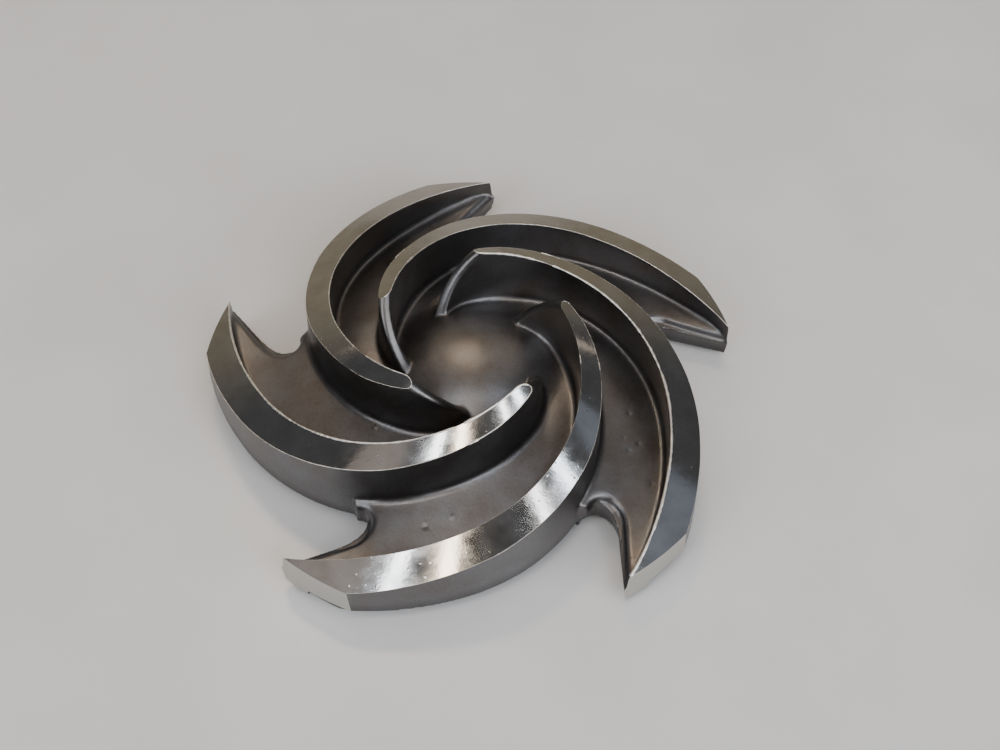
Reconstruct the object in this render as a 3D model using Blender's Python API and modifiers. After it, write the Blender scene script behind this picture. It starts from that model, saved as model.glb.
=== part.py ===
"""Semi-open pump impeller: one stainless casting with five backward-curved vanes.

It lies on its back, so Z is the shaft axis and the eye is up. The origin is on the
shaft axis at the back face of the hub, the face that seats on the shaft shoulder.
"""
import math

import bmesh
import bpy
import numpy as np

MM = 0.001

# Body of revolution, heights above the back face of the hub
OUTER_RADIUS = 100 * MM
TIP_HEIGHT = 18 * MM
FRONT_CONE_ANGLE = math.radians(25.15)
UNDERSIDE_HEIGHT = 2.5 * MM
PARTING_HEIGHT = 7.5 * MM
LAND_BOTTOM = 6 * MM
LAND_SET_IN = 2 * MM
HUB_RADIUS = 27 * MM
HUB_CHAMFER = 0.5 * MM

# Front of the shroud: a dome over the shaft end, a shoulder, a cone and a level rim
DOME_HEIGHT = 34.5 * MM
DOME_RADIUS = 47.6 * MM
DOME_SLOPE = math.radians(33.1)
DOME_FILLET = 15 * MM
SHOULDER_RADIUS = 43 * MM
SHROUD_SLOPE = math.radians(16.3)
SHROUD_CONE_END = 71 * MM
RIM_CURVE_RADIUS = 70 * MM

# Blind bore for the end of the shaft, drilled from the back
BORE_RADIUS = 10.5 * MM
BORE_DEPTH = 19 * MM
BORE_CHAMFER = 1.5 * MM
DRILL_POINT_ANGLE = math.radians(59)

# Vanes: blade angle from the tangent, and thickness across the blade, by radius
VANE_COUNT = 5
FIRST_TIP_AZIMUTH = math.radians(85.2)
TIP_HALF_ANGLE = math.radians(7.3)
BLADE_ANGLE_RADII = [23.5 * MM, 34 * MM, 52 * MM, 80 * MM, 100 * MM]
BLADE_ANGLES = [math.radians(a) for a in (42.6, 20.9, 28.9, 21.0, 24.0)]
THICKNESS_RADII = [23.5 * MM, 30 * MM, 40 * MM, 60 * MM, 80 * MM, 92 * MM, 100 * MM]
THICKNESSES = [2.6 * MM, 3.2 * MM, 6.0 * MM, 8.8 * MM, 10.8 * MM, 11.1 * MM, 10.4 * MM]
DRAFT = math.tan(math.radians(2))
UNDERCUT = math.tan(math.radians(22))

# Leading edge, from its foot on the dome up to the front cone
NOSE_FOOT_RADIUS = 23.5 * MM
NOSE_FOOT_HEIGHT = 28.2 * MM
NOSE_TOP_RADIUS = 33.5 * MM
NOSE_TOP_HEIGHT = 49.1 * MM

# Scallop between two vanes, for the vane whose concave tip corner is at azimuth 0.
# Where its lip starts to round over, the straight web edge runs into a wide arc and
# then a tighter one. The wall stands one lip radius further out
WEB_EDGE_SLOPE = math.radians(34.4)
WIDE_ARC_CENTRE = (74.5 * MM, 4.6 * MM)
WIDE_ARC_RADIUS = 11.9 * MM
WIDE_ARC_END = math.radians(115)
TIGHT_ARC_RADIUS = 7.5 * MM
TIGHT_ARC_END = math.radians(224)
SCALLOP_MEETS_VANE = 64 * MM
LIP_RADIUS = 2.6 * MM
EDGE_TAPER = math.tan(math.radians(8))

# Fineness, and how far the raw shapes run past the faces that trim them
TURN_STEPS = 80
VANE_STATIONS = 26
VANE_SPACING_POWER = 1.3
ARC_STEPS = 4
LIP_STEPS = 3
LIP_CLEARANCE = 1 * MM
CUT_MARGIN = 8 * MM
RAW_BOTTOM = -5 * MM
RAW_RADIUS = OUTER_RADIUS + 4 * MM
SCALLOP_REACH = OUTER_RADIUS + 10 * MM
SMOOTH_ANGLE = math.radians(32)


def clear_scene():
    """Removes every object, so the script can be run again."""
    for item in list(bpy.data.objects):
        bpy.data.objects.remove(item, do_unlink=True)


def new_collection(name):
    """Returns an empty collection linked to the scene."""
    collection = bpy.data.collections.new(name)
    bpy.context.scene.collection.children.link(collection)
    return collection


def mesh_object(name, mesh, collection):
    """Returns an object made of the mesh, in the collection."""
    item = bpy.data.objects.new(name, mesh)
    collection.objects.link(item)
    return item


def bend(path, heading, radius, turn):
    """Adds an arc tangent to the heading, and returns the new heading. Left turns are positive."""
    side = math.copysign(radius, turn)
    centre_x = path[-1][0] - side * math.sin(heading)
    centre_z = path[-1][1] + side * math.cos(heading)
    for step in range(1, ARC_STEPS + 1):
        angle = heading + turn * step / ARC_STEPS
        path.append((centre_x + side * math.sin(angle), centre_z - side * math.cos(angle)))
    return heading + turn


def shroud_profile():
    """Half section of the raw disc, from the top of the dome out and round to the axis."""
    path = [(0.0, DOME_HEIGHT)]
    heading = bend(path, 0.0, DOME_RADIUS, -DOME_SLOPE)
    heading = bend(path, heading, DOME_FILLET, DOME_SLOPE)
    heading = bend(path, heading, SHOULDER_RADIUS, -SHROUD_SLOPE)
    run = SHROUD_CONE_END - path[-1][0]
    path.append((SHROUD_CONE_END, path[-1][1] - run * math.tan(SHROUD_SLOPE)))
    bend(path, heading, RIM_CURVE_RADIUS, SHROUD_SLOPE)
    path.append((RAW_RADIUS, path[-1][1]))
    path.append((RAW_RADIUS, RAW_BOTTOM))
    path.append((0.0, RAW_BOTTOM))
    return path


def front_height(radius):
    """Height of the shroud's front at a radius."""
    front = shroud_profile()[:-2]
    return float(np.interp(radius, [r for r, z in front], [z for r, z in front]))


def cone_height(radius):
    """Height of the machined front cone at a radius."""
    return TIP_HEIGHT + (OUTER_RADIUS - radius) * math.tan(FRONT_CONE_ANGLE)


def machined_profile():
    """Half section of everything inside the machined faces and the flat underside."""
    top_radius = HUB_RADIUS / 2
    return [
        (0.0, cone_height(top_radius)),
        (top_radius, cone_height(top_radius)),
        (OUTER_RADIUS, TIP_HEIGHT),
        (OUTER_RADIUS, LAND_BOTTOM),
        (OUTER_RADIUS - LAND_SET_IN, UNDERSIDE_HEIGHT),
        (HUB_RADIUS, UNDERSIDE_HEIGHT),
        (HUB_RADIUS, HUB_CHAMFER),
        (HUB_RADIUS - HUB_CHAMFER, 0.0),
        (0.0, 0.0),
    ]


def bore_profile():
    """Half section of the blind bore, from its drill point down past the back face."""
    point_height = BORE_RADIUS / math.tan(DRILL_POINT_ANGLE)
    return [
        (0.0, BORE_DEPTH + point_height),
        (BORE_RADIUS, BORE_DEPTH),
        (BORE_RADIUS, BORE_CHAMFER),
        (BORE_RADIUS + BORE_CHAMFER - RAW_BOTTOM, RAW_BOTTOM),
        (0.0, RAW_BOTTOM),
    ]


def turned(name, profile, collection):
    """Returns a body of revolution about Z, made by a Screw modifier on the half section."""
    mesh = bpy.data.meshes.new(name)
    edges = [(i, i + 1) for i in range(len(profile) - 1)]
    mesh.from_pydata([(r, 0.0, z) for r, z in profile], edges, [])
    item = mesh_object(name, mesh, collection)
    screw = item.modifiers.new("Turn", "SCREW")
    screw.steps = TURN_STEPS
    screw.render_steps = TURN_STEPS
    screw.use_merge_vertices = True
    screw.merge_threshold = 0.00001
    return item


def loft(name, rings, collection):
    """Returns a closed body through rings of equally many points, with flat ends."""
    shape = bmesh.new()
    rows = [[shape.verts.new(point) for point in ring] for ring in rings]
    count = len(rings[0])
    for lower, upper in zip(rows, rows[1:]):
        for i in range(count):
            j = (i + 1) % count
            shape.faces.new((lower[i], lower[j], upper[j], upper[i]))
    shape.faces.new(rows[0][::-1])
    shape.faces.new(rows[-1])
    bmesh.ops.triangulate(shape, faces=shape.faces)
    bmesh.ops.recalc_face_normals(shape, faces=shape.faces)
    mesh = bpy.data.meshes.new(name)
    shape.to_mesh(mesh)
    shape.free()
    return mesh_object(name, mesh, collection)


def blade_angle(radius):
    """Angle of the blade from the tangent at a radius."""
    return float(np.interp(radius, BLADE_ANGLE_RADII, BLADE_ANGLES))


def sweep_angle(radius):
    """Angle of the vane's middle line at a radius, from its concave tip corner."""
    steps = 200
    width = (radius - OUTER_RADIUS) / steps
    angle = TIP_HALF_ANGLE
    for step in range(steps):
        middle = OUTER_RADIUS + (step + 0.5) * width
        angle -= width / (middle * math.tan(blade_angle(middle)))
    return angle


def vane_section(radius):
    """Outline across the vane as (offset towards the convex side, height) points."""
    rise = (NOSE_TOP_HEIGHT - NOSE_FOOT_HEIGHT) / (NOSE_TOP_RADIUS - NOSE_FOOT_RADIUS)
    nose_height = NOSE_FOOT_HEIGHT + rise * (radius - NOSE_FOOT_RADIUS)
    crest = min(nose_height, cone_height(radius) + CUT_MARGIN)
    half = float(np.interp(radius, THICKNESS_RADII, THICKNESSES)) / 2
    shoulder = crest - half
    drafted_from = min(shoulder, cone_height(radius))
    half_at_top = half + (drafted_from - shoulder) * DRAFT
    half_at_parting = half + (drafted_from - PARTING_HEIGHT) * DRAFT
    half_at_bottom = max(half_at_parting - (PARTING_HEIGHT - RAW_BOTTOM) * UNDERCUT, 0.5 * MM)
    section = [(-half_at_bottom, RAW_BOTTOM), (-half_at_parting, PARTING_HEIGHT)]
    for step in range(ARC_STEPS + 1):
        angle = math.pi * (1 - step / ARC_STEPS)
        section.append((half_at_top * math.cos(angle), shoulder + half * math.sin(angle)))
    section += [(half_at_parting, PARTING_HEIGHT), (half_at_bottom, RAW_BOTTOM)]
    return section


def vane(index, azimuth, collection):
    """Returns one vane, lofted from inside the dome out past the rim."""
    inner = NOSE_FOOT_RADIUS - 2 * MM
    rings = []
    for station in range(VANE_STATIONS):
        share = (station / (VANE_STATIONS - 1)) ** VANE_SPACING_POWER
        radius = inner + (RAW_RADIUS - inner) * share
        angle = azimuth + sweep_angle(radius)
        across = angle + blade_angle(radius)
        ring = []
        for offset, height in vane_section(radius):
            x = radius * math.cos(angle) + offset * math.cos(across)
            y = radius * math.sin(angle) + offset * math.sin(across)
            ring.append((x, y, height))
        rings.append(ring)
    return loft(f"vane_{index}", rings, collection)


def arc(centre, radius, start, end):
    """Points along a plan arc from one angle to another."""
    points = []
    steps = 2 * ARC_STEPS
    for step in range(steps + 1):
        angle = start + (end - start) * step / steps
        points.append((centre[0] + radius * math.cos(angle), centre[1] + radius * math.sin(angle)))
    return points


def scallop_outline(azimuth, grow):
    """Plan outline of a scallop, grown outwards on its web side and its round end."""
    start = math.pi / 2 - WEB_EDGE_SLOPE
    step_back = WIDE_ARC_RADIUS - TIGHT_ARC_RADIUS
    tight_centre = (
        WIDE_ARC_CENTRE[0] + step_back * math.cos(WIDE_ARC_END),
        WIDE_ARC_CENTRE[1] + step_back * math.sin(WIDE_ARC_END),
    )
    outline = arc(WIDE_ARC_CENTRE, WIDE_ARC_RADIUS + grow, start, WIDE_ARC_END)
    outline += arc(tight_centre, TIGHT_ARC_RADIUS + grow, WIDE_ARC_END, TIGHT_ARC_END)[1:]
    run = SCALLOP_REACH / 2
    outline.insert(0, (
        outline[0][0] + run * math.cos(WEB_EDGE_SLOPE),
        outline[0][1] - run * math.sin(WEB_EDGE_SLOPE),
    ))
    pitch = 2 * math.pi / VANE_COUNT
    line_points = 10
    for step in range(line_points + 1):
        reach = SCALLOP_MEETS_VANE + (SCALLOP_REACH - SCALLOP_MEETS_VANE) * step / line_points
        angle = sweep_angle(reach) - pitch
        outline.append((reach * math.cos(angle), reach * math.sin(angle)))
    middle = -pitch / 2
    outline.append((1.5 * SCALLOP_REACH * math.cos(middle), 1.5 * SCALLOP_REACH * math.sin(middle)))
    cos_a = math.cos(azimuth)
    sin_a = math.sin(azimuth)
    return [(x * cos_a - y * sin_a, x * sin_a + y * cos_a) for x, y in outline]


def scallop(index, azimuth, collection):
    """Returns the cutter of one scallop, tapered up to the lip and rounded over it."""
    bottom = RAW_BOTTOM - MM
    flare = (TIP_HEIGHT - bottom) * EDGE_TAPER
    rings = [[(x, y, bottom) for x, y in scallop_outline(azimuth, flare - LIP_RADIUS)]]
    levels = []
    for step in range(LIP_STEPS):
        slope = math.pi / 2 * (1 - step / LIP_STEPS)
        levels.append((LIP_RADIUS * (math.cos(slope) - 1), -LIP_RADIUS * math.sin(slope)))
    grow = levels[-1][1] + (LIP_CLEARANCE - levels[-1][0]) / math.tan(slope)
    levels += [(LIP_CLEARANCE, grow), (CUT_MARGIN, grow)]
    for above_floor, grow in levels:
        outline = scallop_outline(azimuth, grow)
        rings.append([(x, y, front_height(math.hypot(x, y)) + above_floor) for x, y in outline])
    return loft(f"scallop_{index}", rings, collection)


def combine(target, tool, operation):
    """Adds an exact Boolean of the tool to the target, and hides the tool."""
    boolean = target.modifiers.new(tool.name, "BOOLEAN")
    boolean.operation = operation
    boolean.solver = "EXACT"
    boolean.object = tool
    tool.hide_render = True
    tool.display_type = "WIRE"


def settle(item):
    """Turns the modifiers into mesh, smooth except at its sharp edges."""
    evaluated = item.evaluated_get(bpy.context.evaluated_depsgraph_get())
    mesh = bpy.data.meshes.new_from_object(evaluated)
    item.modifiers.clear()
    item.data = mesh
    mesh.name = item.name
    mesh.shade_smooth()
    mesh.set_sharp_from_angle(angle=SMOOTH_ANGLE)


def cast_stainless():
    """Returns the material of the sand-cast stainless steel, dull umber grey."""
    material = bpy.data.materials.new("cast_stainless")
    material.use_nodes = True
    shader = material.node_tree.nodes["Principled BSDF"]
    shader.inputs["Base Color"].default_value = (0.165, 0.155, 0.145, 1.0)
    shader.inputs["Metallic"].default_value = 1.0
    shader.inputs["Roughness"].default_value = 0.45
    return material


def build_impeller():
    """Builds the casting from the raw disc, scallops, vanes and machined faces."""
    parts = new_collection("pump_impeller")
    cutters = new_collection("pump_impeller_cutters")
    impeller = turned("impeller", shroud_profile(), parts)
    azimuths = [FIRST_TIP_AZIMUTH + 2 * math.pi * i / VANE_COUNT for i in range(VANE_COUNT)]
    for index, azimuth in enumerate(azimuths):
        combine(impeller, scallop(index, azimuth, cutters), "DIFFERENCE")
    for index, azimuth in enumerate(azimuths):
        combine(impeller, vane(index, azimuth, cutters), "UNION")
    combine(impeller, turned("machined_faces", machined_profile(), cutters), "INTERSECT")
    combine(impeller, turned("shaft_bore", bore_profile(), cutters), "DIFFERENCE")
    settle(impeller)
    impeller.data.materials.clear()
    impeller.data.materials.append(cast_stainless())


clear_scene()
build_impeller()
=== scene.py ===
"""Looks of the semi-open pump impeller: one stainless casting, machined on its front.

The casting is modelled the way it is made. The two mould halves and the vanes are
joined and remeshed into one rough blank, the blank is marked like sand-cast metal, and
then the lathe cuts are taken from it: the front cone, the rim, the hub face, the bore.
"""
import math

import bmesh
import bpy
import numpy as np
from mathutils import Matrix, Vector, noise


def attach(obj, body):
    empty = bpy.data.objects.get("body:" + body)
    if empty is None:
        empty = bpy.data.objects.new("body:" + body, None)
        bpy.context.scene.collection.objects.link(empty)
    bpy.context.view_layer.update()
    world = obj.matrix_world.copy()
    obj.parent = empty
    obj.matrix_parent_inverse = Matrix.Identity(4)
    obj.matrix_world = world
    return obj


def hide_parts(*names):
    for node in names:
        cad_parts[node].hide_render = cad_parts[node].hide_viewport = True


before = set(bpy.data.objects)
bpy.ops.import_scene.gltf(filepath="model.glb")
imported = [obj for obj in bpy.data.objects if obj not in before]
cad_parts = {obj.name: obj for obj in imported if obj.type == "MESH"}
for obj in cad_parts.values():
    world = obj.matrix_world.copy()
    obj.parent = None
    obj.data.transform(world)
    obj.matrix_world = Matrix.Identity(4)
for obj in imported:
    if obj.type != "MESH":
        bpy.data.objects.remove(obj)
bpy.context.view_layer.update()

MM = 0.001

# Driving sizes, the same as the CAD part's. Heights are above the back face of the hub
OUTER_RADIUS = 100 * MM
TIP_HEIGHT = 18 * MM
CONE_ANGLE = math.radians(25.15)
UNDERSIDE_HEIGHT = 2.5 * MM
HUB_RADIUS = 27 * MM
HUB_FILLET = 2 * MM
BORE_RADIUS = 10.5 * MM
BORE_DEPTH = 19 * MM
BORE_CHAMFER = 1.5 * MM
DRILL_POINT_ANGLE = math.radians(59)

DOME_HEIGHT = 34.5 * MM
DOME_RADIUS = 47.6 * MM
DOME_SLOPE = math.radians(33.1)
DOME_FILLET = 15 * MM
SHOULDER_RADIUS = 43 * MM
SHROUD_SLOPE = math.radians(16.3)
SHROUD_CONE_END = 71 * MM
RIM_CURVE_RADIUS = 70 * MM

# Vanes: blade angle from the tangent, and thickness across the blade, by radius.
# Each tip stands a little off the even spacing, as it came from the mould
VANE_COUNT = 5
FIRST_TIP_AZIMUTH = math.radians(85.2)
SPACING_ERRORS = [math.radians(a) for a in (-0.17, 0.76, 0.09, -0.01, -0.68)]
TIP_HALF_ANGLE = math.radians(7.3)
BLADE_ANGLE_RADII = [23.5 * MM, 34 * MM, 52 * MM, 80 * MM, 100 * MM]
BLADE_ANGLES = [math.radians(a) for a in (42.6, 20.9, 28.9, 21.0, 24.0)]
THICKNESS_RADII = [23.5 * MM, 30 * MM, 40 * MM, 60 * MM, 80 * MM, 92 * MM, 100 * MM]
THICKNESSES = [2.6 * MM, 3.2 * MM, 6.0 * MM, 8.8 * MM, 10.8 * MM, 11.1 * MM, 10.4 * MM]
DRAFT = math.tan(math.radians(2))
VANE_BOTTOM = 6.4 * MM
NOSE_FOOT_RADIUS = 23.5 * MM
NOSE_FOOT_HEIGHT = 28.2 * MM
NOSE_TOP_RADIUS = 33.5 * MM
NOSE_TOP_HEIGHT = 49.1 * MM
VANE_OVERRUN = 6 * MM

# Fillet at a vane's foot: smaller where the vane is low, and sunk into the shroud to join it
FOOT_FILLET = 2.0 * MM
FILLET_SHARE_OF_VANE = 0.3
LEAST_FILLET = 0.05 * MM
FOOT_SUNK = 2 * MM

# Scallops: plan outline where the lip starts, in the frame of the vane's tip corner
WEB_EDGE_SLOPE = math.radians(34.4)
WIDE_ARC_CENTRE = (74.5 * MM, 4.6 * MM)
WIDE_ARC_RADIUS = 11.9 * MM
WIDE_ARC_END = math.radians(115)
TIGHT_ARC_RADIUS = 7.5 * MM
TIGHT_ARC_END = math.radians(224)
SCALLOP_MEETS_VANE = 64 * MM
WEB_EDGE_LENGTH = 23 * MM
LIP_RADIUS = 2.1 * MM
LIP_TIP_SET_IN = 0.8 * MM

# Lower mould half: it sat half a degree round from the upper one when the metal was
# poured, and its top lies a little under the upper half's front. It stands out past the
# lip along a web's edge. It is set in at the scallop's round end, at the web's tip and
# under the next vane's convex side. Its walls taper, and the sizes hold at one height
MOULD_SHIFT = math.radians(-0.5)
LOWER_DROP = 2.3 * MM
LOWER_STANDS_OUT = 3.4 * MM
LOWER_END_SET_IN = 1.5 * MM
LOWER_TIP_SET_IN = 2.0 * MM
LOWER_MEETS_VANE = 61.5 * MM
LOWER_CLEARS_VANE = 70 * MM
LOWER_TAPER = math.tan(math.radians(8))
LOWER_TAPER_FROM = 8 * MM
LOWER_SET_IN = 1.0 * MM
RIM_ROUND = 3 * MM

# Under each tip the lower half is a little too small to be turned. The strip starts and
# ends at these angles from the tip's concave corner, and its top rises between two heights
RELIEF_RADIUS = 99.2 * MM
RELIEF_START = math.radians(5.7)
RELIEF_END = math.radians(17)
RELIEF_TOPS = (5.4 * MM, 6.9 * MM)

# Fineness of the blank and of the lathe cuts
VOXEL = 0.56 * MM
SOFTEN_FACTOR = 0.5
SOFTEN_PASSES = 3
BLANK_TRIANGLES = 155000
TURN_STEPS = 180
CUT_STEPS = 720
CUT_RINGS = 51
RIM_RINGS = 8
VANE_STATIONS = 90
STATION_CROWDING = 1.6
CORNER_POINTS = 60
SIDE_POINTS = 28
ARC_STEPS = 10
LIP_STEPS = 7
MERGE_DISTANCE = 0.01 * MM
SHARP_ANGLE = math.radians(38)

# Metal left for the lathe, and how far the bodies run into and past each other
RAW_RADIUS = OUTER_RADIUS + 3 * MM
RAW_BOTTOM = -5 * MM
CUT_MARGIN = 6 * MM
OVERLAP = 1 * MM
NOSE_OVERLAP = 2 * MM
SCALLOP_REACH = RAW_RADIUS + 4 * MM
SCALLOP_DEPTH = 25 * MM
SCALLOP_TOP = 20 * MM

# Unevenness of the cast skin, and flaws on the shroud's front: radius, azimuth in degrees,
# size and height. Those that stand up are specks of stuck metal, those below 0 are pits
UNEVEN_LENGTH = 11 * MM
UNEVEN_HEIGHT = 0.12 * MM
FLAW_REACH = 1 * MM
FLAWS = [
    (79.2 * MM, 20.4, 0.8 * MM, 0.35 * MM),
    (43.7 * MM, -143.0, 0.9 * MM, 0.35 * MM),
    (71.4 * MM, 22.5, 0.7 * MM, 0.25 * MM),
    (65.0 * MM, -31.2, 0.8 * MM, -0.2 * MM),
    (61.1 * MM, -27.7, 0.7 * MM, -0.2 * MM),
    (66.8 * MM, -27.0, 0.7 * MM, -0.2 * MM),
    (59.5 * MM, -17.8, 0.7 * MM, -0.2 * MM),
    (77.7 * MM, -35.6, 0.8 * MM, -0.2 * MM),
    (66.3 * MM, -104.8, 0.9 * MM, -0.25 * MM),
    (61.5 * MM, -97.1, 0.7 * MM, 0.2 * MM),
]

# Slots of the cast skin and of the faced cone, which the lathe cuts leave on their faces
CAST_FACE = 0
FACED_FACE = 1

# Burr along the vanes' machined edges: half width on the concave and convex side, by vane.
# It swells and thins by a long wave and by teeth, each a share of that width
BURR_RADII = [
    (0.20 * MM, 0.10 * MM),
    (0.34 * MM, 0.15 * MM),
    (0.02 * MM, 0.06 * MM),
    (0.46 * MM, 0.02 * MM),
    (0.17 * MM, 0.02 * MM),
]
BURR_STEP = 0.6 * MM
BURR_SIDES = 6
BURR_WAVE_LENGTH = 7 * MM
BURR_WAVE = 0.45
BURR_TOOTH_LENGTH = 1.3 * MM
BURR_TOOTH = 0.5
BURR_LEAST = 0.35
BURR_PATH_SMOOTHINGS = 3
SHORTEST_BURR = 5 * MM

# Colours of the metal and of the bench
CAST_BROWN = "#6f6a67"
CAST_GREY = "#7a7a7b"
FACED_DARK = "#b0aba3"
FACED_BRIGHT = "#bebab4"
TURNED_COLOUR = "#c4c0b8"
BORED_COLOUR = "#a8a49e"
# Painted highlight: the burr is coloured lighter than the faced and turned metal, so its bead
# reads as a bright line
BURR_HIGHLIGHT_COLOUR = "#f0ece4"
BENCH_SMEARED = "#dedcd9"
BENCH_CLEAN = "#e3e2e0"

# Sizes of the patterns on them, from the real ones. The sand's grain, the facing tool's
# ripple and the tear marks of the burr are about a third of this, too fine to show, so
# they are drawn as coarse as they need to show
STAIN_SIZE = 14 * MM
GRAIN_SIZE = 0.9 * MM
DIMPLE_SIZE = 5 * MM
SMEAR_SIZE = 9 * MM
NICK_SPACING = 3.2 * MM
RIPPLE_SIZE = 2.0 * MM
TEAR_SIZE = 0.5 * MM
RIM_FEED = 0.3 * MM
BORE_FEED = 0.4 * MM
BENCH_SMEAR_SIZE = 60 * MM

# Waves that a wave texture draws in one unit at a scale of 1
WAVES_PER_UNIT = 20 / (2 * math.pi)

# Light: panels as name, azimuth and elevation in degrees, width and height in metres,
# watts, colour. The big ones are soft, the slim ones draw the streaks on the faced metal
PANEL_DISTANCE = 2.0
PANELS = [
    ("right_front", 300, 33, 1.2, 1.2, 18, "#f4f8ff"),
    ("right_low", 331, 14, 1.2, 0.9, 20, "#f6f9ff"),
    ("left_front", 220, 33, 1.1, 1.1, 14, "#eef5ff"),
    ("overhead", 90, 76, 1.8, 1.1, 2.2, "#ffe8cc"),
    ("back_lamp", 99, 59, 0.30, 0.30, 5.0, "#ffe6c8"),
    ("left_high", -160, 57, 0.6, 0.5, 0.35, "#fff2ea"),
    ("back_right", 50, 46, 1.0, 0.9, 2.0, "#ffeede"),
    ("back_left", 125, 46, 1.2, 0.9, 2.2, "#ffe9d6"),
    ("right_high", -3, 47, 0.6, 0.5, 0.25, "#cfe2ff"),
    ("slim_1", -132, 65, 0.11, 0.9, 4.0, "#eaf2ff"),
    ("slim_2", -106, 68, 0.13, 0.9, 5.0, "#fff0dc"),
    ("slim_3", -41, 66, 0.08, 0.8, 2.4, "#f2f6ff"),
    ("slim_4", -21, 63, 0.10, 0.5, 2.0, "#e0ecff"),
]
WALL_DIRECTION = (-0.08, 0.97, 0.22)
WALL_COLOUR = "#989182"
ROOM_COLOUR = "#55575b"
FLOOR_HALF_WIDTH = 3.0

# Camera, in the part's frame, as the photograph was taken
PICTURE_WIDTH = 1000
SENSOR_WIDTH = 36
FOCAL_PIXELS = 1474.94
CAMERA_PLACE = Vector((-0.00018, -0.33020, 0.45267))
CAMERA_RIGHT = Vector((0.999770, -0.019518, 0.008932))
CAMERA_DOWN = Vector((-0.010128, -0.795844, -0.605418))


# Small helpers

def mesh_object(name, mesh):
    """Returns an object of the mesh, in the scene."""
    item = bpy.data.objects.new(name, mesh)
    bpy.context.scene.collection.objects.link(item)
    return item


def shape_object(name, shape):
    """Returns an object of the bmesh, which is freed."""
    mesh = bpy.data.meshes.new(name)
    shape.to_mesh(mesh)
    shape.free()
    return mesh_object(name, mesh)


def applied(item):
    """Turns the object's modifiers into mesh."""
    evaluated = item.evaluated_get(bpy.context.evaluated_depsgraph_get())
    mesh = bpy.data.meshes.new_from_object(evaluated)
    item.modifiers.clear()
    item.data = mesh
    mesh.name = item.name
    return item


def drop(*items):
    """Removes helper objects."""
    for item in items:
        bpy.data.objects.remove(item, do_unlink=True)


def join(name, items):
    """Returns one object with the meshes of all the items, which are removed."""
    shape = bmesh.new()
    for item in items:
        shape.from_mesh(item.data)
    drop(*items)
    return shape_object(name, shape)


def cut(target, tool, operation, keep_materials=False):
    """Applies an exact Boolean with the tool, and removes the tool."""
    boolean = target.modifiers.new("cut", "BOOLEAN")
    boolean.operation = operation
    boolean.solver = "EXACT"
    boolean.object = tool
    if keep_materials:
        boolean.material_mode = "TRANSFER"
    applied(target)
    drop(tool)


def get_points(mesh):
    """Vertex places as an array of rows."""
    points = np.empty(len(mesh.vertices) * 3)
    mesh.vertices.foreach_get("co", points)
    return points.reshape(-1, 3)


def set_points(mesh, points):
    """Moves the vertices to the rows of the array."""
    mesh.vertices.foreach_set("co", points.reshape(-1))
    mesh.update()


def smooth_step(values, low, high):
    """0 below low, 1 above high, and a smooth ramp between."""
    share = np.clip((values - low) / (high - low), 0, 1)
    return share * share * (3 - 2 * share)


# Shapes shared by the mould halves, the vanes and the lathe cuts

def bend(path, heading, radius, turn):
    """Adds an arc tangent to the heading, and returns the new heading. Left turns are positive."""
    side = math.copysign(radius, turn)
    centre_x = path[-1][0] - side * math.sin(heading)
    centre_z = path[-1][1] + side * math.cos(heading)
    for step in range(1, ARC_STEPS + 1):
        angle = heading + turn * step / ARC_STEPS
        path.append((centre_x + side * math.sin(angle), centre_z - side * math.cos(angle)))
    return heading + turn


def front_profile():
    """Half section of the shroud's front, from the top of the dome out past the rim."""
    path = [(0.0, DOME_HEIGHT)]
    heading = bend(path, 0.0, DOME_RADIUS, -DOME_SLOPE)
    heading = bend(path, heading, DOME_FILLET, DOME_SLOPE)
    heading = bend(path, heading, SHOULDER_RADIUS, -SHROUD_SLOPE)
    run = SHROUD_CONE_END - path[-1][0]
    path.append((SHROUD_CONE_END, path[-1][1] - run * math.tan(SHROUD_SLOPE)))
    bend(path, heading, RIM_CURVE_RADIUS, SHROUD_SLOPE)
    path.append((RAW_RADIUS, path[-1][1]))
    return path


FRONT = np.array(front_profile())


def front_height(radius):
    """Height of the shroud's front at a radius."""
    return np.interp(radius, FRONT[:, 0], FRONT[:, 1])


def cone_height(radius):
    """Height of the machined front cone at a radius."""
    return TIP_HEIGHT + (OUTER_RADIUS - radius) * math.tan(CONE_ANGLE)


def blade_angle(radius):
    """Angle of the blade from the tangent at a radius."""
    return np.interp(radius, BLADE_ANGLE_RADII, BLADE_ANGLES)


# Radii at which a vane's middle line is worked out, from inside its nose to past the rim
SWEEP_RADII = np.linspace(15 * MM, 115 * MM, 2001)


def sweep_table():
    """Angle of a vane's middle line at each sweep radius, from its concave tip corner."""
    slope = 1 / (SWEEP_RADII * np.tan(blade_angle(SWEEP_RADII)))
    width = SWEEP_RADII[1] - SWEEP_RADII[0]
    angle = -np.concatenate(([0.0], np.cumsum((slope[1:] + slope[:-1]) / 2 * width)))
    return angle - np.interp(OUTER_RADIUS, SWEEP_RADII, angle) + TIP_HALF_ANGLE


SWEEP = sweep_table()


def sweep_angle(radius):
    """Angle of a vane's middle line at a radius, from its concave tip corner."""
    return np.interp(radius, SWEEP_RADII, SWEEP)


def half_thickness(radius, height):
    """Half the vane's thickness at a height, with the draft that let the pattern out."""
    half = np.interp(radius, THICKNESS_RADII, THICKNESSES) / 2
    return half + (cone_height(radius) - height) * DRAFT


def vane_point(azimuth, radius, offset):
    """Plan point beside a vane's middle line; the offset is towards its convex side."""
    angle = azimuth + sweep_angle(radius)
    across = angle + blade_angle(radius)
    return (
        radius * math.cos(angle) + offset * math.cos(across),
        radius * math.sin(angle) + offset * math.sin(across),
    )


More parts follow.
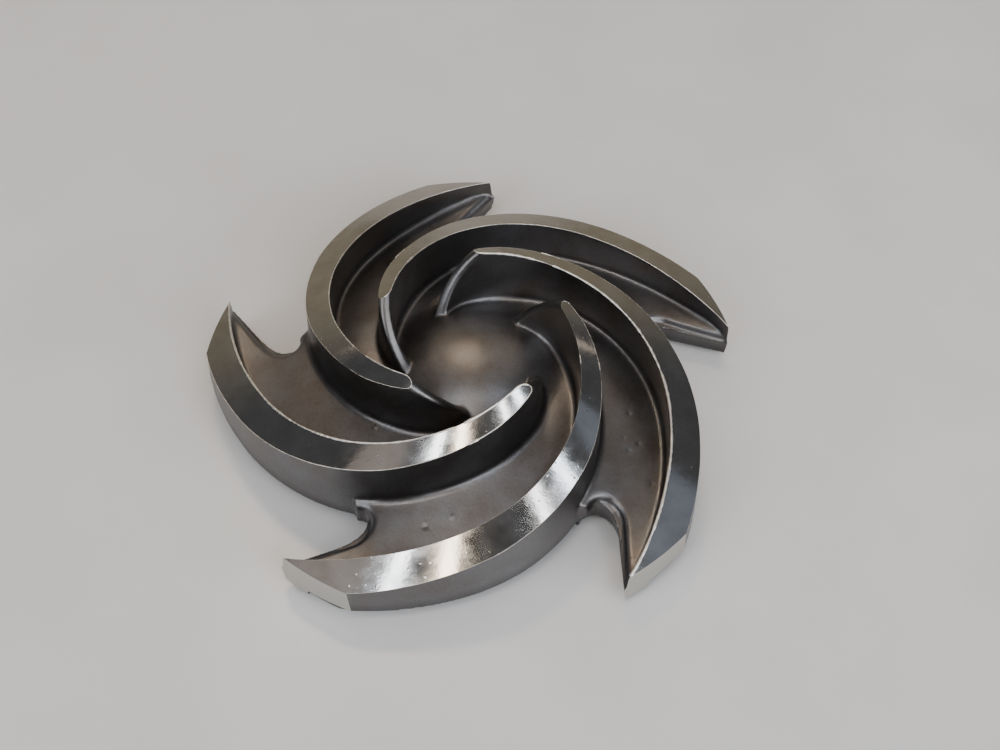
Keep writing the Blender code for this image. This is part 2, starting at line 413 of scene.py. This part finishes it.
def beside_vane(azimuth, point):
    """Radius on a vane's middle line nearest a plan point, and the point's offset from it."""
    angle = azimuth + SWEEP
    across_x = point[0] - SWEEP_RADII * np.cos(angle)
    across_y = point[1] - SWEEP_RADII * np.sin(angle)
    nearest = int(np.argmin(across_x ** 2 + across_y ** 2))
    radius = float(SWEEP_RADII[nearest])
    heading = azimuth + sweep_angle(radius) + blade_angle(radius)
    return radius, across_x[nearest] * math.cos(heading) + across_y[nearest] * math.sin(heading)


def turned(name, profile, steps):
    """Returns a body of revolution about Z, made by a Screw modifier on the half section."""
    mesh = bpy.data.meshes.new(name)
    edges = [(i, i + 1) for i in range(len(profile) - 1)]
    mesh.from_pydata([(r, 0.0, z) for r, z in profile], edges, [])
    item = mesh_object(name, mesh)
    screw = item.modifiers.new("Turn", "SCREW")
    screw.steps = steps
    screw.render_steps = steps
    screw.use_merge_vertices = True
    screw.merge_threshold = MERGE_DISTANCE
    return applied(item)


def add_closed(shape, rings):
    """Adds a closed body through rings of equally many points, with flat ends."""
    rows = [[shape.verts.new(point) for point in ring] for ring in rings]
    count = len(rings[0])
    for lower, upper in zip(rows, rows[1:]):
        for i in range(count):
            j = (i + 1) % count
            shape.faces.new((lower[i], lower[j], upper[j], upper[i]))
    shape.faces.new(rows[0][::-1])
    shape.faces.new(rows[-1])


def loft(name, rings):
    """Returns a closed body of triangles through the rings."""
    shape = bmesh.new()
    add_closed(shape, rings)
    bmesh.ops.triangulate(shape, faces=shape.faces)
    bmesh.ops.recalc_face_normals(shape, faces=shape.faces)
    return shape_object(name, shape)


# The casting blank

def vane_stations():
    """Radii of a vane's sections, closer together at the nose."""
    inner = NOSE_FOOT_RADIUS - NOSE_OVERLAP
    shares = (np.arange(VANE_STATIONS) / (VANE_STATIONS - 1)) ** STATION_CROWDING
    return inner + (OUTER_RADIUS + VANE_OVERRUN - inner) * shares


def crest_height(radius):
    """Height of the vane before machining: the sloping nose, then past the front cone."""
    rise = (NOSE_TOP_HEIGHT - NOSE_FOOT_HEIGHT) / (NOSE_TOP_RADIUS - NOSE_FOOT_RADIUS)
    nose = NOSE_FOOT_HEIGHT + rise * (radius - NOSE_FOOT_RADIUS)
    return min(nose, cone_height(radius) + CUT_MARGIN)


def vane_body(azimuth):
    """Returns a vane with drafted sides and a rounded crest."""
    rings = []
    for radius in vane_stations():
        crest = crest_height(radius)
        half = half_thickness(radius, cone_height(radius))
        shoulder = crest - half
        top = half_thickness(radius, min(shoulder, cone_height(radius)))
        bottom = half_thickness(radius, VANE_BOTTOM)
        section = [(-bottom, VANE_BOTTOM)]
        for step in range(ARC_STEPS + 1):
            angle = math.pi * (1 - step / ARC_STEPS)
            section.append((top * math.cos(angle), shoulder + half * math.sin(angle)))
        section.append((bottom, VANE_BOTTOM))
        rings.append([(*vane_point(azimuth, radius, side), z) for side, z in section])
    return loft("vane", rings)


def vane_foot(azimuth):
    """Returns the flared foot of a vane, its fillets running down onto the shroud."""
    rings = []
    for radius in vane_stations():
        floor = front_height(radius)
        room = FILLET_SHARE_OF_VANE * (crest_height(radius) - floor)
        fillet = max(min(FOOT_FILLET, room), LEAST_FILLET)
        edge = half_thickness(radius, floor)
        section = [(edge + fillet, -FOOT_SUNK)]
        for step in range(ARC_STEPS + 1):
            angle = math.pi / 2 * (1 - step / ARC_STEPS)
            section.append((edge + fillet * (1 - math.cos(angle)), fillet * (1 - math.sin(angle))))
        section += [(-side, rise) for side, rise in section[::-1]]
        ring = []
        for side, rise in section:
            x, y = vane_point(azimuth, radius, side)
            ring.append((x, y, front_height(math.hypot(x, y)) + rise))
        rings.append(ring)
    return loft("foot", rings)


def spaced(path, count):
    """Points evenly spaced along a plan path."""
    path = np.array(path)
    along = np.concatenate(([0.0], np.cumsum(np.hypot(*np.diff(path, axis=0).T))))
    places = np.linspace(0, along[-1], count)
    return list(zip(np.interp(places, along, path[:, 0]), np.interp(places, along, path[:, 1])))


def scallop_outline(azimuth, next_azimuth, grow, end_grow, tip_grow, inset=None):
    """Plan outline of a scallop, between a vane's web and the next vane.

    It is grown by grow along the web's edge, changing to end_grow at its round end and to
    tip_grow at the vane's tip. Along the next vane it runs down the middle line, or with
    an inset, that far in from the convex side.
    """
    start = math.pi / 2 - WEB_EDGE_SLOPE
    step_back = WIDE_ARC_RADIUS - TIGHT_ARC_RADIUS
    tight_centre = (
        WIDE_ARC_CENTRE[0] + step_back * math.cos(WIDE_ARC_END),
        WIDE_ARC_CENTRE[1] + step_back * math.sin(WIDE_ARC_END),
    )
    corner = []
    for angle in np.linspace(start, TIGHT_ARC_END, 3 * ARC_STEPS):
        wide = angle < WIDE_ARC_END
        centre = WIDE_ARC_CENTRE if wide else tight_centre
        share = float(smooth_step(angle, start, TIGHT_ARC_END))
        reach = (WIDE_ARC_RADIUS if wide else TIGHT_ARC_RADIUS) + grow + (end_grow - grow) * share
        corner.append((centre[0] + reach * math.cos(angle), centre[1] + reach * math.sin(angle)))
    run = RAW_RADIUS / 2
    widen = (tip_grow - grow) * run / WEB_EDGE_LENGTH
    corner.insert(0, (
        corner[0][0] + run * math.cos(WEB_EDGE_SLOPE) + widen * math.cos(start),
        corner[0][1] - run * math.sin(WEB_EDGE_SLOPE) + widen * math.sin(start),
    ))
    cos_a = math.cos(azimuth)
    sin_a = math.sin(azimuth)
    corner = [(x * cos_a - y * sin_a, x * sin_a + y * cos_a) for x, y in corner]

    def side(radius):
        """Distance of the outline from the next vane's middle line, at a radius."""
        if inset is None:
            return 0.0
        full = half_thickness(radius, VANE_BOTTOM) - inset
        return full * float(smooth_step(radius, LOWER_MEETS_VANE, LOWER_CLEARS_VANE))

    kept = []
    meets = SCALLOP_MEETS_VANE if inset is None else LOWER_MEETS_VANE
    for point in corner:
        radius, offset = beside_vane(next_azimuth, point)
        if offset < side(radius):
            meets = radius
            break
        kept.append(point)
    outline = spaced(kept, CORNER_POINTS)
    for radius in np.linspace(meets, SCALLOP_REACH, SIDE_POINTS):
        outline.append(vane_point(next_azimuth, radius, side(radius)))
    middle = (azimuth + next_azimuth) / 2
    well_outside = 1.5 * SCALLOP_REACH
    outline.append((well_outside * math.cos(middle), well_outside * math.sin(middle)))
    return outline


def upper_scallop(azimuth, next_azimuth):
    """Cutter for the upper mould half: an upright wall with a rounded lip at the floor."""
    levels = [(-SCALLOP_DEPTH, -LIP_RADIUS)]
    for step in range(LIP_STEPS):
        slope = math.pi / 2 * (1 - step / LIP_STEPS)
        levels.append((LIP_RADIUS * (math.cos(slope) - 1), -LIP_RADIUS * math.sin(slope)))
    grow = levels[-1][1] + (OVERLAP - levels[-1][0]) / math.tan(slope)
    levels += [(OVERLAP, grow), (CUT_MARGIN, grow)]
    rings = []
    for rise, grow in levels:
        ring = scallop_outline(azimuth, next_azimuth, grow, grow, grow + LIP_TIP_SET_IN)
        rings.append([(x, y, front_height(math.hypot(x, y)) + rise) for x, y in ring])
    return loft("upper_scallop", rings)


def lower_scallop(azimuth, next_azimuth):
    """Cutter for the lower mould half: tapered, and set in under the convex side."""
    rings = []
    for height in (RAW_BOTTOM - OVERLAP, SCALLOP_TOP):
        taper = (LOWER_TAPER_FROM - height) * LOWER_TAPER
        inset = LOWER_SET_IN + max(taper, 0)
        grow = taper - LOWER_STANDS_OUT
        end_grow = taper + LOWER_END_SET_IN - LIP_RADIUS
        tip_grow = grow + LOWER_TIP_SET_IN
        outline = scallop_outline(azimuth, next_azimuth, grow, end_grow, tip_grow, inset)
        rings.append([(x, y, height) for x, y in outline])
    return loft("lower_scallop", rings)


def rim_relief(azimuth):
    """Cutter for the strip under a tip that the turning tool doesn't reach."""
    rings = []
    for share in np.linspace(0, 1, ARC_STEPS):
        angle = azimuth + RELIEF_START + share * (RELIEF_END - RELIEF_START)
        top = RELIEF_TOPS[0] + share * (RELIEF_TOPS[1] - RELIEF_TOPS[0])
        reach = RAW_RADIUS + CUT_MARGIN
        bottom = RAW_BOTTOM - OVERLAP
        corners = ((RELIEF_RADIUS, bottom), (reach, bottom), (reach, top), (RELIEF_RADIUS, top))
        rings.append([(r * math.cos(angle), r * math.sin(angle), z) for r, z in corners])
    return loft("rim_relief", rings)


def neighbours(azimuths):
    """Pairs each vane's azimuth with the next one clockwise, which is less than it."""
    pairs = []
    for index, azimuth in enumerate(azimuths):
        before = azimuths[index - 1]
        if before > azimuth:
            before -= 2 * math.pi
        pairs.append((azimuth, before))
    return pairs


def upper_half(azimuths):
    """Returns the part of the shroud cast in the upper mould half, with the vanes' feet."""
    top = [(r, z) for r, z in FRONT]
    bottom = FRONT[-1][1] - LOWER_DROP - OVERLAP
    half = turned("upper_half", top + [(RAW_RADIUS, bottom), (0.0, bottom)], TURN_STEPS)
    for azimuth in azimuths:
        cut(half, vane_foot(azimuth), "UNION")
    for azimuth, next_azimuth in neighbours(azimuths):
        cut(half, upper_scallop(azimuth, next_azimuth), "DIFFERENCE")
    return half


def lower_half(azimuths):
    """Returns the part of the shroud cast in the lower mould half, with the hub."""
    top = [(r, z - LOWER_DROP) for r, z in FRONT]
    path = top + [(RAW_RADIUS, UNDERSIDE_HEIGHT + RIM_ROUND)]
    bend(path, -math.pi / 2, RIM_ROUND, -math.pi / 2)
    path.append((HUB_RADIUS + HUB_FILLET, UNDERSIDE_HEIGHT))
    bend(path, math.pi, HUB_FILLET, math.pi / 2)
    path += [(HUB_RADIUS, RAW_BOTTOM), (0.0, RAW_BOTTOM)]
    half = turned("lower_half", path, TURN_STEPS)
    for azimuth, next_azimuth in neighbours(azimuths):
        shifted = (azimuth + MOULD_SHIFT, next_azimuth + MOULD_SHIFT)
        cut(half, lower_scallop(*shifted), "DIFFERENCE")
    for azimuth in azimuths:
        cut(half, rim_relief(azimuth), "DIFFERENCE")
    return half


def casting_blank(azimuths):
    """Returns the whole rough casting as one skin."""
    pieces = [upper_half(azimuths), lower_half(azimuths)]
    pieces += [vane_body(azimuth) for azimuth in azimuths]
    blank = join("impeller_casting", pieces)
    remesh = blank.modifiers.new("skin", "REMESH")
    remesh.mode = "VOXEL"
    remesh.voxel_size = VOXEL
    soften = blank.modifiers.new("soften", "SMOOTH")
    soften.factor = SOFTEN_FACTOR
    soften.iterations = SOFTEN_PASSES
    applied(blank)
    mark_casting(blank)
    return blank


def mark_casting(blank):
    """Gives the casting its slight unevenness, its specks of stuck metal and its pits."""
    points = get_points(blank.data)
    normals = np.empty(points.size)
    blank.data.vertices.foreach_get("normal", normals)
    normals = normals.reshape(-1, 3)
    swell = np.array([noise.noise(Vector(point) / UNEVEN_LENGTH) for point in points])
    lift = UNEVEN_HEIGHT * swell
    above_front = points[:, 2] - front_height(np.hypot(points[:, 0], points[:, 1]))
    on_front = np.abs(above_front) < FLAW_REACH
    for radius, azimuth, size, height in FLAWS:
        x = radius * math.cos(math.radians(azimuth))
        y = radius * math.sin(math.radians(azimuth))
        near = np.hypot(points[:, 0] - x, points[:, 1] - y) / size
        lift += on_front * height * np.exp(-near ** 2)
    set_points(blank.data, points + normals * lift[:, None])


def trim_triangles(item, limit):
    """Reduces a mesh of four-sided faces to about this many triangles."""
    count = 2 * len(item.data.polygons)
    if count <= limit:
        return
    decimate = item.modifiers.new("trim", "DECIMATE")
    decimate.ratio = limit / count
    applied(item)


def turning_cuts():
    """Returns the body left by the lathe: front cone, rim and hub face.

    Inside half the hub's radius its top is level, because there is no metal to cut there.
    """
    radii = np.linspace(0, OUTER_RADIUS, CUT_RINGS)
    profile = [(r, cone_height(max(r, HUB_RADIUS / 2))) for r in radii]
    profile += [(OUTER_RADIUS, z) for z in np.linspace(TIP_HEIGHT, 0, RIM_RINGS)[1:]]
    profile += [(r, 0.0) for r in radii[-2::-1]]
    return turned("lathe_cuts", profile, CUT_STEPS)


def bore_cut():
    """Returns the drilled blind bore with its chamfered mouth."""
    point_height = BORE_RADIUS / math.tan(DRILL_POINT_ANGLE)
    profile = [
        (0.0, BORE_DEPTH + point_height),
        (BORE_RADIUS, BORE_DEPTH),
        (BORE_RADIUS, BORE_CHAMFER),
        (BORE_RADIUS + BORE_CHAMFER - RAW_BOTTOM, RAW_BOTTOM),
        (0.0, RAW_BOTTOM),
    ]
    return turned("bore_cut", profile, CUT_STEPS // 4)


def machine(blank, cast, faced, rim, bored):
    """Takes the lathe cuts from the blank; each cut face carries its own finish."""
    blank.data.materials.clear()
    blank.data.materials.append(cast)
    body = turning_cuts()
    for finish in (faced, rim):
        body.data.materials.append(finish)
    for face in body.data.polygons:
        faces_up = face.normal.z > 0.5
        face.material_index = 0 if faces_up else 1
    cut(blank, body, "INTERSECT", keep_materials=True)
    tool = bore_cut()
    tool.data.materials.append(bored)
    cut(blank, tool, "DIFFERENCE", keep_materials=True)
    blank.data.shade_smooth()
    blank.data.set_sharp_from_angle(angle=SHARP_ANGLE)


# The burr that the facing tool left along the vanes' edges

def edge_paths(mesh):
    """Chains of vertices where the faced cone meets the cast sides."""
    shape = bmesh.new()
    shape.from_mesh(mesh)
    links = {}
    for edge in shape.edges:
        kinds = {face.material_index for face in edge.link_faces}
        if kinds == {CAST_FACE, FACED_FACE}:
            one, other = (vert.index for vert in edge.verts)
            links.setdefault(one, []).append(other)
            links.setdefault(other, []).append(one)
    shape.verts.ensure_lookup_table()
    places = {index: shape.verts[index].co.copy() for index in links}
    shape.free()
    paths = []
    ends = [index for index, others in links.items() if len(others) == 1]
    for start in ends:
        if start not in links:
            continue
        chain = [start]
        while True:
            onward = [i for i in links.pop(chain[-1], []) if i in links]
            if not onward:
                break
            chain.append(onward[0])
        paths.append(np.array([places[index] for index in chain]))
    return paths


def burr_radius(azimuths, point):
    """Half width of the burr at a point of a vane's edge."""
    best = None
    for azimuth, widths in zip(azimuths, BURR_RADII):
        offset = beside_vane(azimuth, point)[1]
        if best is None or abs(offset) < best[0]:
            best = (abs(offset), widths[0] if offset < 0 else widths[1])
    place = Vector(point)
    wave = noise.noise(place / BURR_WAVE_LENGTH) * BURR_WAVE
    teeth = noise.noise(place / BURR_TOOTH_LENGTH) * BURR_TOOTH
    return best[1] * max(BURR_LEAST, 1 + wave + teeth)


def burr_rings(azimuths, points):
    """Rings of a bead of burr along a vane's edge."""
    rings = []
    for index, point in enumerate(points):
        ahead = Vector(points[min(index + 1, len(points) - 1)] - points[max(index - 1, 0)])
        outward = Vector((point[0], point[1], 0)).normalized() * math.sin(CONE_ANGLE)
        up = (outward + Vector((0, 0, math.cos(CONE_ANGLE)))).normalized()
        side = ahead.normalized().cross(up).normalized()
        radius = burr_radius(azimuths, point)
        ring = []
        for step in range(BURR_SIDES):
            angle = 2 * math.pi * step / BURR_SIDES
            ring.append(Vector(point) + radius * (math.cos(angle) * up + math.sin(angle) * side))
        rings.append(ring)
    return rings


def edge_burr(azimuths, mesh):
    """Returns thin irregular beads of turned-over metal along the vanes' machined edges."""
    shape = bmesh.new()
    for path in edge_paths(mesh):
        along = np.concatenate(([0.0], np.cumsum(np.linalg.norm(np.diff(path, axis=0), axis=1))))
        if along[-1] < SHORTEST_BURR:
            continue
        places = np.linspace(0, along[-1], int(along[-1] / BURR_STEP) + 2)
        points = np.stack([np.interp(places, along, path[:, k]) for k in range(3)], axis=1)
        for _ in range(BURR_PATH_SMOOTHINGS):
            points[1:-1] = (points[:-2] + 2 * points[1:-1] + points[2:]) / 4
        add_closed(shape, burr_rings(azimuths, points))
    bmesh.ops.recalc_face_normals(shape, faces=shape.faces)
    for face in shape.faces:
        face.smooth = True
    return shape_object("edge_burr", shape)


# Materials

def linear(code):
    """Turns an sRGB hex value into linear colour."""
    channels = [int(code[i:i + 2], 16) / 255 for i in (1, 3, 5)]
    light = [c / 12.92 if c <= 0.04045 else ((c + 0.055) / 1.055) ** 2.4 for c in channels]
    return (*light, 1.0)


def add(tree, kind, inputs=None, **settings):
    """Adds a node with its settings; an input is a value, or another node's output to link."""
    made = tree.nodes.new(kind)
    for name, value in settings.items():
        setattr(made, name, value)
    for socket, value in (inputs or {}).items():
        if isinstance(value, bpy.types.NodeSocket):
            tree.links.new(value, made.inputs[socket])
        else:
            made.inputs[socket].default_value = value
    return made


def new_material(name):
    """Returns an empty node material, its tree and its Principled shader."""
    material = bpy.data.materials.new(name)
    material.use_nodes = True
    tree = material.node_tree
    return material, tree, tree.nodes["Principled BSDF"]


def per(size):
    """Texture scale that draws features of this size."""
    return 1 / size


def sand_cast_stainless():
    """Sand-cast stainless, shot-blasted: a dull umber-grey skin with a fine sandy grain.

    The grain and the shallow dimples break up the highlight on the dome. The browner stains
    are heat colour left from the mould. Low down, near the bench, the colour is darkened as
    painted shade, for the shadow the skin lies in there.
    """
    material, tree, shader = new_material("sand_cast_stainless")
    shader.inputs["Metallic"].default_value = 1.0
    place = add(tree, "ShaderNodeTexCoord").outputs["Object"]
    stain = add(tree, "ShaderNodeTexNoise", {
        "Vector": place, "Scale": per(STAIN_SIZE), "Detail": 4.0, "Roughness": 0.6,
    }).outputs["Fac"]
    tone = add(tree, "ShaderNodeValToRGB", {"Fac": stain})
    tone.color_ramp.elements[0].position = 0.32
    tone.color_ramp.elements[0].color = linear(CAST_BROWN)
    tone.color_ramp.elements[1].position = 0.66
    tone.color_ramp.elements[1].color = linear(CAST_GREY)
    grain = add(tree, "ShaderNodeTexNoise", {
        "Vector": place, "Scale": per(GRAIN_SIZE), "Detail": 3.0, "Roughness": 0.65,
    }).outputs["Fac"]
    speck = add(tree, "ShaderNodeMapRange", {
        "Value": grain, "From Min": 0.34, "From Max": 0.5, "To Min": 0.86, "To Max": 1.0,
    }).outputs["Result"]
    # Painted shade: the base colour darkens towards the bottom, below 12 mm, for the shadow near
    # the bench
    height = add(tree, "ShaderNodeSeparateXYZ", {"Vector": place}).outputs["Z"]
    painted_low_shade = add(tree, "ShaderNodeMapRange", {
        "Value": height, "From Min": 5 * MM, "From Max": 12 * MM, "To Min": 0.45, "To Max": 1.0,
    }).outputs["Result"]
    # The grain's specks, times the painted shade low down
    speck_and_painted_shade = add(tree, "ShaderNodeMath", {
        0: speck, 1: painted_low_shade,
    }, operation="MULTIPLY").outputs["Value"]
    colour = add(tree, "ShaderNodeVectorMath", {
        0: tone.outputs["Color"], "Scale": speck_and_painted_shade,
    }, operation="SCALE").outputs["Vector"]
    tree.links.new(colour, shader.inputs["Base Color"])
    sheen = add(tree, "ShaderNodeMapRange", {
        "Value": stain, "From Min": 0.3, "From Max": 0.7, "To Min": 0.34, "To Max": 0.42,
    }).outputs["Result"]
    tree.links.new(sheen, shader.inputs["Roughness"])
    dimple = add(tree, "ShaderNodeTexNoise", {
        "Vector": place, "Scale": per(DIMPLE_SIZE), "Detail": 2.0,
    }).outputs["Fac"]
    dimpled = add(tree, "ShaderNodeBump", {
        "Height": dimple, "Strength": 1.0, "Distance": 0.05 * MM,
    }).outputs["Normal"]
    sandy = add(tree, "ShaderNodeBump", {
        "Height": grain, "Normal": dimpled, "Strength": 0.8, "Distance": 0.06 * MM,
    }).outputs["Normal"]
    tree.links.new(sandy, shader.inputs["Normal"])
    return material


def faced_stainless():
    """Stainless faced on a lathe with a fine feed: nearly a mirror, with rippled chatter.

    The tool's rings round the axis are too fine to draw, so they only stretch what the face
    reflects. The chatter bends it, smears dull it in places, and grit has left small nicks.
    """
    material, tree, shader = new_material("faced_stainless")
    shader.inputs["Metallic"].default_value = 1.0
    shader.inputs["Anisotropic"].default_value = 0.35
    tangent = add(tree, "ShaderNodeTangent", direction_type="RADIAL", axis="Z")
    tree.links.new(tangent.outputs["Tangent"], shader.inputs["Tangent"])
    place = add(tree, "ShaderNodeTexCoord").outputs["Object"]
    smear = add(tree, "ShaderNodeTexNoise", {
        "Vector": place, "Scale": per(SMEAR_SIZE), "Detail": 5.0, "Roughness": 0.6,
    }).outputs["Fac"]
    tone = add(tree, "ShaderNodeValToRGB", {"Fac": smear})
    tone.color_ramp.elements[0].position = 0.3
    tone.color_ramp.elements[0].color = linear(FACED_DARK)
    tone.color_ramp.elements[1].position = 0.6
    tone.color_ramp.elements[1].color = linear(FACED_BRIGHT)
    tree.links.new(tone.outputs["Color"], shader.inputs["Base Color"])
    grit = add(tree, "ShaderNodeTexVoronoi", {
        "Vector": place, "Scale": per(NICK_SPACING), "Randomness": 1.0,
    }).outputs["Distance"]
    nick = add(tree, "ShaderNodeMapRange", {
        "Value": grit, "From Min": 0.05, "From Max": 0.12, "To Min": 0.16, "To Max": 0.0,
    }).outputs["Result"]
    haze = add(tree, "ShaderNodeMapRange", {
        "Value": smear, "From Min": 0.35, "From Max": 0.7, "To Min": 0.08, "To Max": 0.15,
    }).outputs["Result"]
    rough = add(tree, "ShaderNodeMath", {0: haze, 1: nick}, operation="ADD").outputs["Value"]
    tree.links.new(rough, shader.inputs["Roughness"])
    ripple = add(tree, "ShaderNodeTexNoise", {
        "Vector": place, "Scale": per(RIPPLE_SIZE), "Detail": 2.0, "Distortion": 0.6,
    }).outputs["Fac"]
    rippled = add(tree, "ShaderNodeBump", {
        "Height": ripple, "Strength": 1.0, "Distance": 0.012 * MM,
    }).outputs["Normal"]
    pitted = add(tree, "ShaderNodeBump", {
        "Height": nick, "Normal": rippled, "Strength": 0.5, "Distance": 0.2 * MM,
    }).outputs["Normal"]
    tree.links.new(pitted, shader.inputs["Normal"])
    return material


def turned_stainless(name, colour, roughness, feed):
    """Stainless turned or bored to a satin finish, with the tool's feed lines up its height."""
    material, tree, shader = new_material(name)
    shader.inputs["Metallic"].default_value = 1.0
    shader.inputs["Base Color"].default_value = linear(colour)
    shader.inputs["Roughness"].default_value = roughness
    place = add(tree, "ShaderNodeTexCoord").outputs["Object"]
    lines = add(tree, "ShaderNodeTexWave", {
        "Vector": place, "Scale": per(feed) / WAVES_PER_UNIT, "Distortion": 0.4, "Detail": 1.0,
    }, wave_type="BANDS", bands_direction="Z").outputs["Fac"]
    ridges = add(tree, "ShaderNodeBump", {
        "Height": lines, "Strength": 0.5, "Distance": 0.02 * MM,
    }).outputs["Normal"]
    tree.links.new(ridges, shader.inputs["Normal"])
    return material


def burred_stainless():
    """Metal turned over the edge by the tool, torn and freshly cut; its colour is lifted past the
    faced metal's as a painted highlight, so it shows as a bright line.
    """
    material, tree, shader = new_material("burred_stainless")
    shader.inputs["Metallic"].default_value = 1.0
    shader.inputs["Base Color"].default_value = linear(BURR_HIGHLIGHT_COLOUR)
    shader.inputs["Roughness"].default_value = 0.42
    place = add(tree, "ShaderNodeTexCoord").outputs["Object"]
    torn = add(tree, "ShaderNodeTexNoise", {
        "Vector": place, "Scale": per(TEAR_SIZE), "Detail": 2.0,
    }).outputs["Fac"]
    ragged = add(tree, "ShaderNodeBump", {
        "Height": torn, "Strength": 0.6, "Distance": 0.1 * MM,
    }).outputs["Normal"]
    tree.links.new(ragged, shader.inputs["Normal"])
    return material


def white_laminate():
    """White laminate bench top, wiped clean: a soft gloss with faint smears."""
    material, tree, shader = new_material("white_laminate")
    place = add(tree, "ShaderNodeTexCoord").outputs["Object"]
    smear = add(tree, "ShaderNodeTexNoise", {
        "Vector": place, "Scale": per(BENCH_SMEAR_SIZE), "Detail": 3.0,
    }).outputs["Fac"]
    tone = add(tree, "ShaderNodeValToRGB", {"Fac": smear})
    tone.color_ramp.elements[0].position = 0.35
    tone.color_ramp.elements[0].color = linear(BENCH_SMEARED)
    tone.color_ramp.elements[1].position = 0.65
    tone.color_ramp.elements[1].color = linear(BENCH_CLEAN)
    tree.links.new(tone.outputs["Color"], shader.inputs["Base Color"])
    shader.inputs["Roughness"].default_value = 0.22
    return material


# Stage

def add_floor():
    """A plain pale floor under the part."""
    half = FLOOR_HALF_WIDTH
    corners = [(-half, -half, 0), (half, -half, 0), (half, half, 0), (-half, half, 0)]
    mesh = bpy.data.meshes.new("floor")
    mesh.from_pydata(corners, [], [(0, 1, 2, 3)])
    mesh.materials.append(white_laminate())
    floor = mesh_object("floor", mesh)


def add_camera():
    """The camera, where the photograph was taken from."""
    data = bpy.data.cameras.new("camera")
    data.sensor_width = SENSOR_WIDTH
    data.lens = FOCAL_PIXELS / PICTURE_WIDTH * SENSOR_WIDTH
    data.clip_start = 0.01
    camera = bpy.data.objects.new("camera", data)
    bpy.context.scene.collection.objects.link(camera)
    backward = CAMERA_RIGHT.cross(-CAMERA_DOWN)
    turn = Matrix((CAMERA_RIGHT, -CAMERA_DOWN, backward)).transposed()
    camera.matrix_world = Matrix.Translation(CAMERA_PLACE) @ turn.to_4x4()
    bpy.context.scene.camera = camera


def add_panel(name, azimuth, elevation, width, height, power, colour):
    """A soft light panel in a direction from the part, facing it."""
    data = bpy.data.lights.new(name, "AREA")
    data.shape = "RECTANGLE"
    data.size = width
    data.size_y = height
    data.energy = power
    data.color = linear(colour)[:3]
    panel = bpy.data.objects.new(name, data)
    bpy.context.scene.collection.objects.link(panel)
    level = math.cos(math.radians(elevation))
    towards = Vector((
        level * math.cos(math.radians(azimuth)),
        level * math.sin(math.radians(azimuth)),
        math.sin(math.radians(elevation)),
    ))
    panel.location = towards * PANEL_DISTANCE
    panel.rotation_euler = (-towards).to_track_quat("-Z", "Y").to_euler()


def add_room():
    """A dim room round the stage, with a pale wall behind the part."""
    world = bpy.data.worlds.new("room")
    bpy.context.scene.world = world
    world.use_nodes = True
    tree = world.node_tree
    heading = add(tree, "ShaderNodeTexCoord").outputs["Generated"]
    facing = add(tree, "ShaderNodeVectorMath", {
        0: heading, 1: WALL_DIRECTION,
    }, operation="DOT_PRODUCT").outputs["Value"]
    wall = add(tree, "ShaderNodeValToRGB", {"Fac": facing})
    wall.color_ramp.interpolation = "EASE"
    wall.color_ramp.elements[0].position = 0.55
    wall.color_ramp.elements[0].color = linear(ROOM_COLOUR)
    wall.color_ramp.elements[1].position = 0.92
    wall.color_ramp.elements[1].color = linear(WALL_COLOUR)
    back = tree.nodes["Background"]
    tree.links.new(wall.outputs["Color"], back.inputs["Color"])
    back.inputs["Strength"].default_value = 1.0


def add_light():
    """Soft studio light: the room, and panels round and over the part."""
    add_room()
    for panel in PANELS:
        add_panel(*panel)


def main():
    """Builds the stage, the casting and its burr."""
    add_camera()
    add_floor()
    add_light()
    azimuths = [
        FIRST_TIP_AZIMUTH + 2 * math.pi * i / VANE_COUNT + SPACING_ERRORS[i]
        for i in range(VANE_COUNT)
    ]
    casting = casting_blank(azimuths)
    trim_triangles(casting, BLANK_TRIANGLES)
    machine(
        casting,
        sand_cast_stainless(),
        faced_stainless(),
        turned_stainless("turned_stainless", TURNED_COLOUR, 0.3, RIM_FEED),
        turned_stainless("bored_stainless", BORED_COLOUR, 0.3, BORE_FEED),
    )
    burr = edge_burr(azimuths, casting.data)
    burr.data.materials.append(burred_stainless())
    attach(burr, "root")
    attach(casting, "root")
    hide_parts("impeller")


main()
